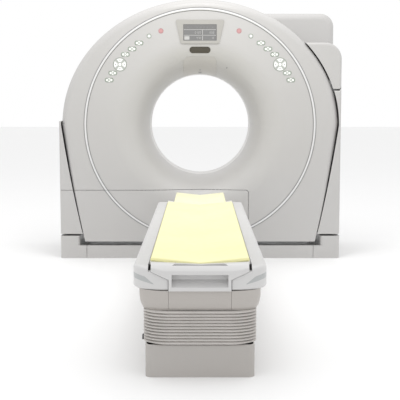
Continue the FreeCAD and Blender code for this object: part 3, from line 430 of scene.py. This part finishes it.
# ---- padded pieces --------------------------------------------------------------------------
CRADLE_HALF, CRADLE_SAG, CRADLE_EDGE_Z = 0.212, 0.024, 0.486
CRADLE_RADIUS = (CRADLE_HALF ** 2 + CRADLE_SAG ** 2) / (2 * CRADLE_SAG)
PAD_EDGE = 0.007         # rounding of a pad's sides
FOLD_EASE = 0.006        # how softly the two halves of a pad meet
PAD_ROOM = 0.0015        # how much smaller a pad starts, so that it can swell
PAD_LIFT = 0.0012        # how far a pad lies above the cradle
SIDE_SHARE = 0.25        # share of a pad's thickness that is left at its very edge
CREASE_WIDTH = 0.004
SWELL = 0.0015           # how far a point may move when a pad swells
SWELL_PRESSURE = 4.0
SWELL_FRAMES = 20
SEAM_HEIGHT = 0.42       # height of the seam as a share of the pad's thickness
SEAM_RADIUS = 0.0011
SEAM_OUT = 0.0003


def cradle_z(x):
    """Height of the cradle's dished top."""
    return CRADLE_EDGE_Z - CRADLE_SAG + CRADLE_RADIUS - math.sqrt(CRADLE_RADIUS ** 2 - x * x)


def spaced(low, high, step, edge):
    """Positions from low to high, close together at both ends where the pad is rounded."""
    start = [low + edge * (1 - math.cos(math.pi / 2 * i / 4)) for i in range(4)]
    count = int(round((high - low - 2 * edge) / step))
    middle = [low + edge + (high - low - 2 * edge) * i / count for i in range(count + 1)]
    return start + middle + [low + high - v for v in reversed(start)]


def pad_mesh(name, half, near, far, top, crease, shader, step):
    """A closed pad that lies in the dish: two halves slope down to the fold in its middle."""
    across, lengthwise = spaced(-half, half, step, PAD_EDGE), spaced(near, far, step, PAD_EDGE)
    slope = CRADLE_SAG / CRADLE_HALF

    def level(x, y, upper):
        inset = max(0.0, abs(x) - (half - PAD_EDGE), abs(y - (near + far) / 2)
                    - ((far - near) / 2 - PAD_EDGE)) / PAD_EDGE
        full = SIDE_SHARE + (1 - SIDE_SHARE) * math.sqrt(max(0.0, 1 - inset * inset))
        high = top - slope * (half - math.hypot(x, FOLD_EASE))
        high -= crease * math.exp(-(x / CREASE_WIDTH) ** 2)
        low = cradle_z(x) + PAD_LIFT
        middle, thick = (high + low) / 2, (high - low) / 2
        return middle + thick * full if upper else middle - thick * full

    verts, faces = [], []
    nx, ny = len(across), len(lengthwise)
    for upper in (True, False):
        verts += [(x, y, level(x, y, upper)) for y in lengthwise for x in across]

    def index(side, i, j):
        return side * nx * ny + j * nx + i

    for side in (0, 1):
        for j in range(ny - 1):
            for i in range(nx - 1):
                faces.append((index(side, i, j), index(side, i + 1, j),
                              index(side, i + 1, j + 1), index(side, i, j + 1)))
    rim = [(i, 0) for i in range(nx)] + [(nx - 1, j) for j in range(1, ny)]
    rim += [(i, ny - 1) for i in range(nx - 2, -1, -1)] + [(0, j) for j in range(ny - 2, 0, -1)]
    for k, (i, j) in enumerate(rim):
        i2, j2 = rim[(k + 1) % len(rim)]
        faces.append((index(0, i, j), index(0, i2, j2), index(1, i2, j2), index(1, i, j)))
    return new_piece(name, verts, faces, shader)


def inflate(piece):
    """Let the pad swell under a little pressure, move no point further than SWELL, and keep it."""
    rest = [v.co.copy() for v in piece.data.vertices]
    cloth = piece.modifiers.new("swell", "CLOTH")
    cloth.settings.use_pressure = True
    cloth.settings.uniform_pressure_force = SWELL_PRESSURE
    cloth.settings.effector_weights.gravity = 0.0
    cloth.settings.tension_stiffness = 25.0
    cloth.settings.compression_stiffness = 25.0
    cloth.settings.bending_stiffness = 0.8
    cloth.settings.quality = 4
    cloth.collision_settings.use_collision = False
    scene = bpy.context.scene
    for number in range(1, SWELL_FRAMES + 1):
        scene.frame_set(number)
    shaped = piece.evaluated_get(bpy.context.evaluated_depsgraph_get()).to_mesh()
    moved = [v.co.copy() for v in shaped.vertices]
    piece.evaluated_get(bpy.context.evaluated_depsgraph_get()).to_mesh_clear()
    piece.modifiers.clear()
    scene.frame_set(1)
    for vertex, start, end in zip(piece.data.vertices, rest, moved):
        step = end - start
        if step.length > SWELL:
            step = step.normalized() * SWELL
        vertex.co = start + step


def bead(name, path, radius, shader, sides=8):
    """A welded seam: a thin round bead along a closed path."""
    verts, faces = [], []
    n = len(path)
    for k, point in enumerate(path):
        ahead = (path[(k + 1) % n] - path[k - 1]).normalized()
        side = ahead.cross(Vector((0, 0, 1))).normalized()
        up = side.cross(ahead).normalized()
        for i in range(sides):
            angle = 2 * math.pi * i / sides
            verts.append(point + radius * (math.cos(angle) * side + math.sin(angle) * up))
    for k in range(n):
        for i in range(sides):
            a, b = k * sides, ((k + 1) % n) * sides
            faces.append((a + i, a + (i + 1) % sides, b + (i + 1) % sides, b + i))
    return new_piece(name, verts, faces, shader)


def make_pad(name, node, shader, crease, step):
    """A padded piece in place of its CAD solid, with a welded seam around its sides."""
    low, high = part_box(node)
    half, near = high.x - PAD_ROOM, low.y + PAD_ROOM
    far, top = high.y - PAD_ROOM, high.z - PAD_ROOM
    piece = pad_mesh(name, half, near, far, top, crease, shader, step)
    inflate(piece)
    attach(piece, "cradle_body")
    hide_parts(node)

    def seam_point(x, y):
        slope = CRADLE_SAG / CRADLE_HALF
        upper = top - slope * (half - math.hypot(x, FOLD_EASE))
        return Vector((x, y, SEAM_HEIGHT * upper + (1 - SEAM_HEIGHT) * cradle_z(x)))

    out, columns, rows, corner = SEAM_OUT, 40, 90, 0.004
    xs = [-half - out + 2 * (half + out) * i / columns for i in range(columns + 1)]
    ys = [near + corner + (far - near - 2 * corner) * i / rows for i in range(rows + 1)]
    path = [seam_point(x, near - out) for x in xs[1:-1]]
    path += [seam_point(half + out, y) for y in ys]
    path += [seam_point(x, far + out) for x in reversed(xs[1:-1])]
    path += [seam_point(-half - out, y) for y in reversed(ys)]
    seam = bead(name + "_seam", path, SEAM_RADIUS, shader)
    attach(seam, "cradle_body")


make_pad("table_mattress", "mattress", "mattress_vinyl", 0.0008, 0.0085)
make_pad("head_rest_pad", "head_pad", "pad_vinyl", 0.0010, 0.0065)


# ---- bellows --------------------------------------------------------------------------------
FOLDS = 11
FOLD_DEPTH = 0.011
BELLOWS_WALL = 0.0014
NOSE_FLAT = 0.131        # half width of the flat part of the near end
NOSE_SHAPE = 0.7         # depth of its swept corners as a share of their width
FAR_CORNER = 0.030


def arc_points(cx, cy, rx, ry, start, count):
    """Points of a quarter ellipse, without its ends."""
    return [(cx + rx * math.cos(math.radians(start + 90 * i / count)),
             cy + ry * math.sin(math.radians(start + 90 * i / count)))
            for i in range(1, count)]


def bellows_outline(inset):
    """Plan of the bellows: a near end that sweeps back at both sides, and a square far end."""
    low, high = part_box("bellows")
    half, near, far = high.x - inset, low.y + inset, high.y - inset
    flat = NOSE_FLAT - inset
    deep = NOSE_SHAPE * (half - flat)
    radius = FAR_CORNER - inset
    side = [near + deep + (far - radius - near - deep) * i / 60 for i in range(61)]
    points = [(-flat + 2 * flat * i / 12, near) for i in range(13)]
    points += arc_points(flat, near + deep, half - flat, deep, -90, 14)
    points += [(half, y) for y in side]
    points += arc_points(half - radius, far - radius, radius, radius, 0, 6)
    points += [((half - radius) * (1 - i / 10), far) for i in range(21)]
    points += arc_points(-half + radius, far - radius, radius, radius, 90, 6)
    points += [(-half, y) for y in reversed(side)]
    points += arc_points(-flat, near + deep, half - flat, deep, 180, 14)
    return points


def make_bellows():
    """A folded skirt of cloth with a wall thickness."""
    low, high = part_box("bellows")
    pitch = (high.z - low.z) / FOLDS
    profile = ((0.0, 1.0), (0.12, 0.72), (0.40, 0.12), (0.52, 0.0), (0.72, 0.0), (0.86, 0.30))
    levels = []
    for fold in range(FOLDS):
        for rise, share in profile:
            levels.append((low.z + (fold + rise) * pitch, share * FOLD_DEPTH))
    levels.append((high.z, FOLD_DEPTH))
    verts, faces = [], []
    size = 0
    for wall in (0.0, BELLOWS_WALL):
        for z, inset in levels:
            ring = bellows_outline(inset + wall)
            size = len(ring)
            verts += [(x, y, z) for x, y in ring]
    rows = len(levels)
    for layer in (0, 1):
        start = layer * rows * size
        for j in range(rows - 1):
            for i in range(size):
                k = (i + 1) % size
                a, b = start + j * size, start + (j + 1) * size
                faces.append((a + i, a + k, b + k, b + i))
    for j in (0, rows - 1):
        for i in range(size):
            k = (i + 1) % size
            a, b = j * size, (rows + j) * size
            faces.append((a + i, a + k, b + k, b + i))
    piece = new_piece("table_bellows", verts, faces, "bellows_fabric")
    sharpen(piece, 50)
    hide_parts("bellows")
    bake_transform(piece)


make_bellows()


# ---- prints, marks and painted shade on the control panel -----------------------------------
KEY_RADIUS = 0.0135
KEY_PAIR = 0.015         # half the distance between the two ends of a rocker
PAD_RADIUS = 0.0460      # the four-way pad
KEY_FLANGE = 0.0025
KEY_GAP = 0.0009         # from a key's edge to the ring around it: painted shade, and red print at the stop button
KEY_RING_OUT = 0.0034
PRINT = 0.0002           # thickness of a print, and of a ring of painted shade
KEY_KINDS = ("stop_button", "light_key", "tilt_rocker", "height_rocker", "cradle_rocker",
             "four_way_pad", "memory_rocker", "preset_rocker")


def make_control_marks():
    """Rings of painted shade around the keys and along their caps' edges, red printed rings at the stop
    button, and printed arrows and dots on the keys.
    """
    rings, red_rings = Plates(), Plates()
    for name in NODES:
        kind = name.rsplit("_", 1)[0]
        if kind not in KEY_KINDS:
            continue
        low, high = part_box(name)
        x, z = (low.x + high.x) / 2, (low.z + high.z) / 2
        front = low.y
        marks = Plates()
        if kind.endswith("rocker"):
            radius = KEY_RADIUS
            # painted shade: a grey-green ring on the panel around the raised rocker, where its shadow
            # falls
            rings.add(capsule(x, z, KEY_PAIR, radius + KEY_RING_OUT), FACE_Y - PRINT, FACE_Y + PRINT,
                      capsule(x, z, KEY_PAIR, radius + KEY_GAP))
            for side in (-1, 1):
                cx = x + side * KEY_PAIR
                # painted shade along the edge of each end's cap; the arrows and dots below are print
                marks.add(circle(cx, z, radius - 0.0002), front - PRINT, front + PRINT,
                          circle(cx, z, radius - 0.0048))
                tip = 0.0030 * side
                if kind in ("tilt_rocker", "height_rocker"):
                    shape = [(cx - 0.003, z - tip * 0.6), (cx + 0.003, z - tip * 0.6), (cx, z + tip)]
                elif kind == "cradle_rocker":
                    shape = [(cx - tip * 0.6, z - 0.003), (cx - tip * 0.6, z + 0.003), (cx + tip, z)]
                else:
                    shape = circle(cx, z, 0.0016, 16)
                marks.add(shape, front - PRINT, front + PRINT)
        elif kind == "four_way_pad":
            radius = PAD_RADIUS
            # painted shade: a grey-green ring on the panel around the raised pad
            rings.add(circle(x, z, radius + KEY_RING_OUT, 72), FACE_Y - PRINT, FACE_Y + PRINT,
                      circle(x, z, radius + KEY_GAP, 72))
            lobes = Plates()
            lobes.add(circle(x, z, 0.0105), front - PRINT, front + PRINT)
            for quarter in range(4):
                mid = math.pi / 2 * quarter
                outer = [(x + 0.0425 * math.cos(mid + math.radians(a)),
                          z + 0.0425 * math.sin(mid + math.radians(a))) for a in range(-32, 33, 4)]
                inner = [(x + 0.0175 * math.cos(mid + math.radians(a)),
                          z + 0.0175 * math.sin(mid + math.radians(a))) for a in range(24, -25, -4)]
                lobes.add(outer + inner, front - PRINT, front + PRINT)
                ux, uz = math.cos(mid), math.sin(mid)
                tip = (x + 0.036 * ux, z + 0.036 * uz)
                left = (x + 0.028 * ux - 0.006 * uz, z + 0.028 * uz + 0.006 * ux)
                right = (x + 0.028 * ux + 0.006 * uz, z + 0.028 * uz - 0.006 * ux)
                marks.add([tip, left, right], front - 2 * PRINT, front)
            lobes.piece("lobes_" + name, "key_white", name + "_body")
        else:
            radius = (high.x - low.x) / 2 - KEY_FLANGE
            # round the stop button a red printed ring; round the other keys a ring of painted shade
            target = red_rings if kind == "stop_button" else rings
            target.add(circle(x, z, radius + KEY_RING_OUT), FACE_Y - PRINT, FACE_Y + PRINT,
                       circle(x, z, radius + KEY_GAP))
            # a ring along the cap's edge: red print on the stop button, painted shade on the other keys
            marks.add(circle(x, z, radius - 0.0004), front - PRINT, front + PRINT,
                      circle(x, z, radius - 0.0032))
            if kind == "light_key":
                marks.add(circle(x, z, 0.0030, 20), front - PRINT, front + PRINT)
        shade = "print_red" if kind == "stop_button" else "print_and_shade_green"
        marks.piece("marks_" + name, shade, name + "_body")
    # the grey-green rings of painted shade around the keys
    rings.piece("key_shade_rings", "print_and_shade_green", "gantry")
    red_rings.piece("stop_rings", "print_red", "gantry")


make_control_marks()


# ---- screen graphics ------------------------------------------------------------------------
SEGMENTS = {"0": "abcdef", "1": "bc", "2": "abdeg", "3": "abcdg", "4": "bcfg", "5": "acdfg",
            "6": "acdefg", "7": "abc", "8": "abcdefg", "9": "abcdfg"}


def add_digit(plates, digit, x, z, width, height, front, back):
    """A seven-segment figure whose lower left corner is at x, z."""
    bar = width * 0.2
    half = height / 2
    places = {"a": (x, x + width, z + height - bar, z + height),
              "d": (x, x + width, z, z + bar),
              "g": (x, x + width, z + half - bar / 2, z + half + bar / 2),
              "b": (x + width - bar, x + width, z + half, z + height),
              "c": (x + width - bar, x + width, z, z + half),
              "f": (x, x + bar, z + half, z + height),
              "e": (x, x + bar, z, z + half)}
    for segment in SEGMENTS[digit]:
        x0, x1, z0, z1 = places[segment]
        plates.add(rectangle(x0, x1, z0, z1), front, back)


def make_screen():
    """Plain fields, figures and symbols of a display."""
    low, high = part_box("display_panel")
    front, back = low.y - PRINT, low.y + PRINT
    light, dark = Plates(), Plates()
    z_rows = ((low.z + 0.004, low.z + 0.034), (low.z + 0.042, low.z + 0.073))
    split = 0.022
    fields = []
    for z0, z1 in z_rows:
        fields.append((low.x + 0.006, split - 0.010, z0, z1))
        fields.append((split + 0.002, high.x - 0.014, z0, z1))
    for x0, x1, z0, z1 in fields:
        dark.add(rectangle(x0, x1, z0, z1, 0.003), front, back)
    for z in (low.z + 0.038, low.z + 0.0775):
        light.add(rectangle(low.x + 0.004, high.x - 0.006, z - 0.0016, z + 0.0016), front, back)
    light.add(rectangle(split - 0.006, split - 0.002, low.z + 0.003, low.z + 0.076), front, back)
    light.add(rectangle(low.x + 0.008, low.x + 0.044, z_rows[0][0] + 0.003, z_rows[0][1] - 0.003,
                        0.002), front - PRINT, back)
    text = ((z_rows[1], 0, "0125"), (z_rows[1], 1, "000"), (z_rows[0], 0, "470"),
            (z_rows[0], 1, "12"))
    for (z0, z1), column, digits in text:
        right = (fields[0][1] if column == 0 else fields[1][1]) - 0.006
        for place, digit in enumerate(reversed(digits)):
            x = right - 0.0115 * place - 0.008
            add_digit(light, digit, x, z0 + 0.008, 0.008, z1 - z0 - 0.016, front - PRINT, front)
    for k, x in enumerate((-0.085, -0.062, -0.020, 0.004, 0.030, 0.052, 0.090)):
        z = low.z + 0.094
        if k % 3 == 0:
            dark.add(rectangle(x - 0.007, x + 0.007, z - 0.005, z + 0.005, 0.002), front, back)
        elif k % 3 == 1:
            dark.add(circle(x, z, 0.006, 24), front, back, circle(x, z, 0.0035, 24))
        else:
            dark.add([(x - 0.007, z - 0.005), (x + 0.007, z - 0.005), (x, z + 0.007)], front, back)
    light.piece("screen_light_fields", "screen_light", "gantry")
    dark.piece("screen_dark_fields", "screen_dark", "gantry")


make_screen()


# ---- small trim laid on the covers ----------------------------------------------------------
TRIM_PROUD, TRIM_SUNK = 0.0006, 0.0008     # how far trim stands out of and reaches into a cover
TRIM_START = 0.1         # how far in front of a cover its rays start


def lay_on(node, way, patches, name, shader, body):
    """Thin closed sheets that follow a CAD surface: each patch is a grid of start points."""
    skin, toward = surface_of(node), Vector(way)
    verts, faces = [], []
    for grid in patches:
        rows, columns, base = len(grid), len(grid[0]), len(verts)
        for lift in (TRIM_PROUD, -TRIM_SUNK):
            for row in grid:
                for point in row:
                    hit, normal, _, _ = skin.ray_cast(Vector(point), toward)
                    if hit is None:
                        raise RuntimeError("%s misses %s at %s" % (name, node, point))
                    if normal.dot(toward) > 0:
                        normal = -normal
                    verts.append(hit + normal * lift)
        size = rows * columns
        for layer in (0, size):
            for j in range(rows - 1):
                for i in range(columns - 1):
                    a = base + layer + j * columns + i
                    faces.append((a, a + 1, a + columns + 1, a + columns))
        rim = [i for i in range(columns)] + [j * columns + columns - 1 for j in range(1, rows)]
        rim += [(rows - 1) * columns + i for i in range(columns - 2, -1, -1)]
        rim += [j * columns for j in range(rows - 2, 0, -1)]
        for k, a in enumerate(rim):
            b = rim[(k + 1) % len(rim)]
            faces.append((base + a, base + b, base + size + b, base + size + a))
    piece = new_piece(name, verts, faces, shader)
    sharpen(piece, 50)
    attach(piece, body)


def patch_xz(x0, x1, low, high, start, columns, rows):
    """A grid in the XZ plane; low and high give its edges for a share of its width."""
    grid = []
    for j in range(rows + 1):
        row = []
        for i in range(columns + 1):
            share = i / columns
            z = low(share) + (high(share) - low(share)) * j / rows
            row.append((x0 + (x1 - x0) * share, start, z))
        grid.append(row)
    return grid


def disc_xz(x, z, radius, start):
    """A round patch, as a grid whose ends are cut short."""
    def chord(share):
        return radius * math.sqrt(max(0.04, 1 - (2 * share - 1) ** 2))
    return patch_xz(x - radius, x + radius, lambda t: z - chord(t), lambda t: z + chord(t),
                    start, 10, 4)


def make_trim():
    """Inlays on the rails' near corners, small marks on the gantry, and a tab by the bellows."""
    rail_low, rail_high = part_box("side_rails")
    start, out_x = rail_low.y - TRIM_START, rail_high.x - 0.0025
    tip_x, bend = 0.193, 0.55
    face = FACE_Y - TRIM_START
    inlays = [patch_xz(side * out_x, side * tip_x, lambda t: 0.416 - 0.018 * t,
                       lambda t: 0.438 - 0.010 * t / bend if t < bend
                       else 0.428 - 0.029 * (t - bend) / (1 - bend), start, 30, 4)
              for side in (-1, 1)]
    lay_on("side_rails", (0, 1, 0), inlays, "rail_inlays", "inlay_grey", "table_top")
    dots = [disc_xz(0.0, 1.372, 0.0045, face),
            patch_xz(-0.011, 0.011, lambda t: 1.350, lambda t: 1.359, face, 6, 4)]
    lay_on("projector_cover", (0, 1, 0), dots, "projector_marks", "print_grey", "gantry")
    lay_on("front_cover", (0, 1, 0), [disc_xz(0.194, 1.384, 0.005, face)],
           "cover_mark", "print_grey", "gantry")
    tab = Plates()
    tab.add(rectangle(-0.2475, -0.2400, 0.141, 0.160, 0.002), -3.262, -3.238)
    tab.piece("bellows_tab", "tab_black", "base")


make_trim()


# ---- camera, floor and lights ---------------------------------------------------------------
def make_stage():
    """The camera at the photograph's place, a plain floor, a white world and two soft lights."""
    scene = bpy.context.scene
    camera = bpy.data.objects.new("photo_camera", bpy.data.cameras.new("photo_camera"))
    camera.location = (0.0, -7.205, 1.174)
    camera.rotation_euler = (math.radians(90 - 6.253), 0.0, 0.0)
    camera.data.lens = 84.6
    camera.data.sensor_width = 36.0
    camera.data.clip_end = 100.0
    scene.collection.objects.link(camera)
    scene.camera = camera

    half = 30.0
    verts = [(-half, -half, 0.0), (half, -half, 0.0), (half, half, 0.0), (-half, half, 0.0)]
    mesh = bpy.data.meshes.new("floor")
    mesh.from_pydata(verts, [], [(0, 1, 2, 3)])
    mesh.materials.append(floor_paint().material)
    floor = bpy.data.objects.new("floor", mesh)
    scene.collection.objects.link(floor)

    world = bpy.data.worlds.new("studio")
    world.use_nodes = True
    background = world.node_tree.nodes["Background"]
    background.inputs["Color"].default_value = (1.0, 1.0, 1.0, 1.0)
    background.inputs["Strength"].default_value = 1.0
    scene.world = world
    for name, place, size, power, aim in (
            ("top_light", (0.0, -1.4, 6.0), 6.0, 90.0, (0.0, -1.0, 0.0)),
            ("low_light", (0.0, -1.6, 2.6), 0.8, 12.0, (0.0, 0.0, 0.45))):
        lamp = bpy.data.lights.new(name, "AREA")
        lamp.shape = "SQUARE"
        lamp.size = size
        lamp.energy = power
        light = bpy.data.objects.new(name, lamp)
        light.location = place
        light.rotation_euler = (Vector(aim) - Vector(place)).to_track_quat("-Z", "Y").to_euler()
        scene.collection.objects.link(light)
    scene.view_settings.view_transform = "Standard"


make_stage()
